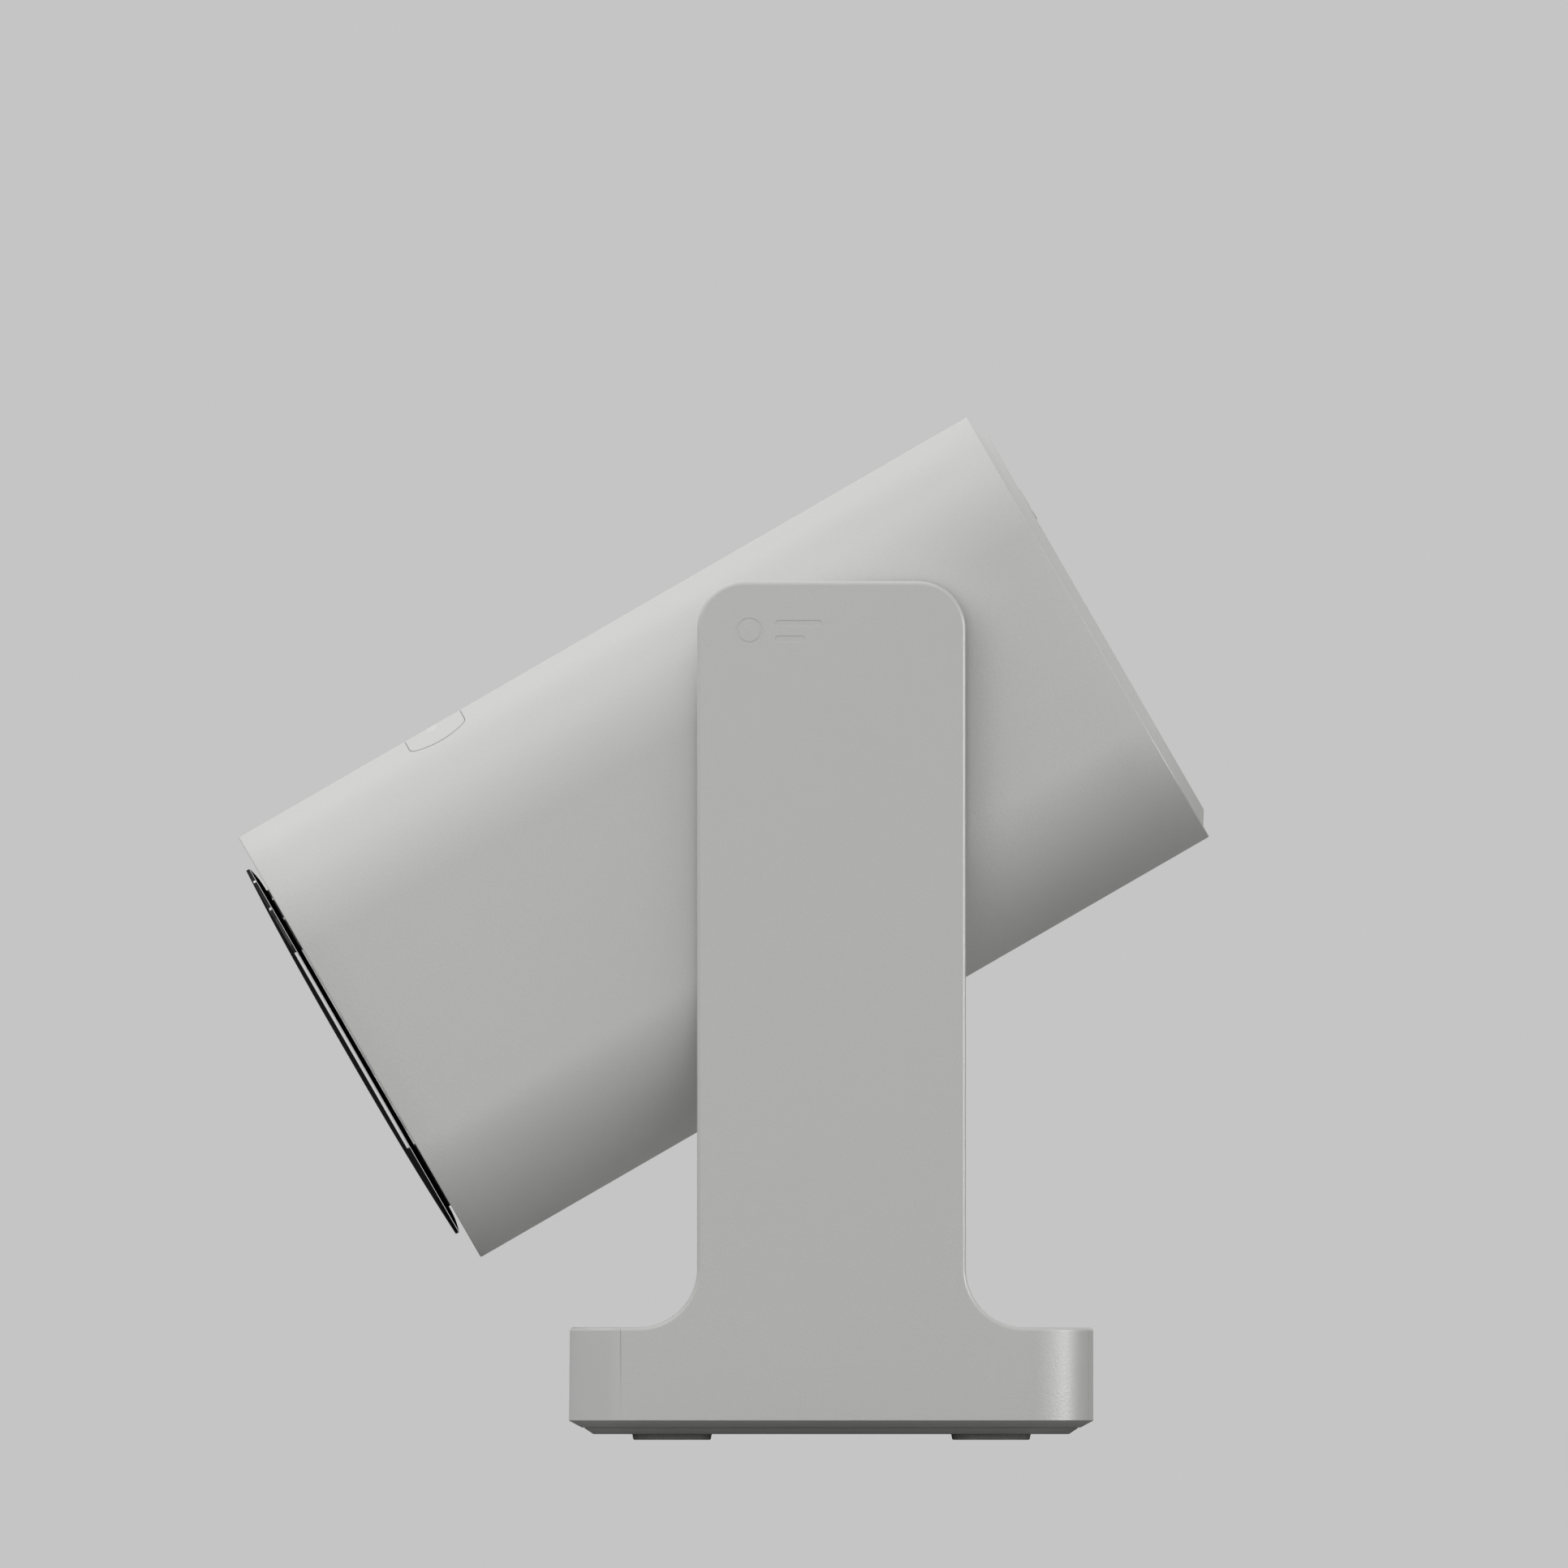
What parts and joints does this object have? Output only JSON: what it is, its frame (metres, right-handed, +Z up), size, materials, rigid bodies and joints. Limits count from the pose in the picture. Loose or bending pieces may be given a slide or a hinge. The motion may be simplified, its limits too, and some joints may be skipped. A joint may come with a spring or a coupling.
{
  "type": "pos touchscreen terminal",
  "caption": "Countertop touchscreen terminal: a rounded tube head with a black glass front, tilting on a friction hinge between the arms of a weighted stand.",
  "frame": {"origin": "middle of the object's footprint box, at the level of the feet's lower faces", "axes": "+Z up, the screen side faces -Y, and +X points out of the arm that the picture shows, which is on the right of a person facing the screen"},
  "size_m": [0.275, 0.3226, 0.3401],
  "materials": {
    "shell": "satin",
    "stand": "matte",
    "fascia": "satin",
    "plate": "matte",
    "black_plastic": "gloss",
    "cover_glass": "polished",
    "display_panel": "satin",
    "light_window": "gloss",
    "foot_rubber": "matte",
    "steel": "satin",
    "bush_brass": "satin",
    "aluminium": "satin",
    "circuit_board": "satin",
    "antenna_copper": "satin",
    "dark_plastic": "matte"
  },
  "bodies": {
    "stand": {"arm_inner_cover_left": "stand", "arm_inner_cover_right": "stand", "arm_upright_left": "steel", "arm_upright_right": "steel", "ballast_plate": "steel", "base_frame": "steel", "base_top_cover": "stand", "base_tray": "stand", "bottom_plate": "plate", "bottom_screw_1": "steel", "bottom_screw_2": "steel", "bottom_screw_3": "steel", "bottom_screw_4": "steel", "foot_front_left": "foot_rubber", "foot_front_right": "foot_rubber", "foot_rear_left": "foot_rubber", "foot_rear_right": "foot_rubber", "front_fascia": "fascia", "hinge_bush_left": "bush_brass", "hinge_bush_right": "bush_brass", "interface_board": "circuit_board", "rear_panel": "stand", "side_cover_left": "stand", "side_cover_right": "stand", "usb_socket": "steel"},
    "head": {"chassis_plate": "aluminium", "display_bezel": "black_plastic", "display_frame": "aluminium", "friction_washer_left": "steel", "friction_washer_right": "steel", "front_end_plate": "black_plastic", "heatsink": "aluminium", "hinge_bracket_left": "steel", "hinge_bracket_right": "steel", "hinge_nut_left": "steel", "hinge_nut_right": "steel", "hinge_shaft_left": "steel", "hinge_shaft_right": "steel", "lcd_panel": "display_panel", "main_board": "circuit_board", "nfc_antenna": "antenna_copper", "pad_switch_board": "circuit_board", "power_supply": "dark_plastic", "power_switch_board": "circuit_board", "rear_cap": "shell", "speaker": "dark_plastic", "touch_glass": "cover_glass", "tube_shell": "shell"},
    "control_pad": {"control_pad": "shell", "pad_light_window": "light_window"},
    "power_button": {"power_button": "shell"}
  },
  "joints": [
    {"name": "head_tilt", "type": "hinge", "parent": "stand", "child": "head", "pos_m": [0, 0.0355, 0.2212], "axis": [-1, 0, 0], "range_deg": [0, 75]},
    {"name": "power_button_press", "type": "slide", "parent": "head", "child": "power_button", "axis": [0, -0.866, -0.5], "range_m": [0, 0.0008], "stiffness_N_per_m": 2500},
    {"name": "control_pad_press", "type": "slide", "parent": "head", "child": "control_pad", "axis": [0, 0.5, -0.866], "range_m": [0, 0.0006], "stiffness_N_per_m": 4000}
  ]
}
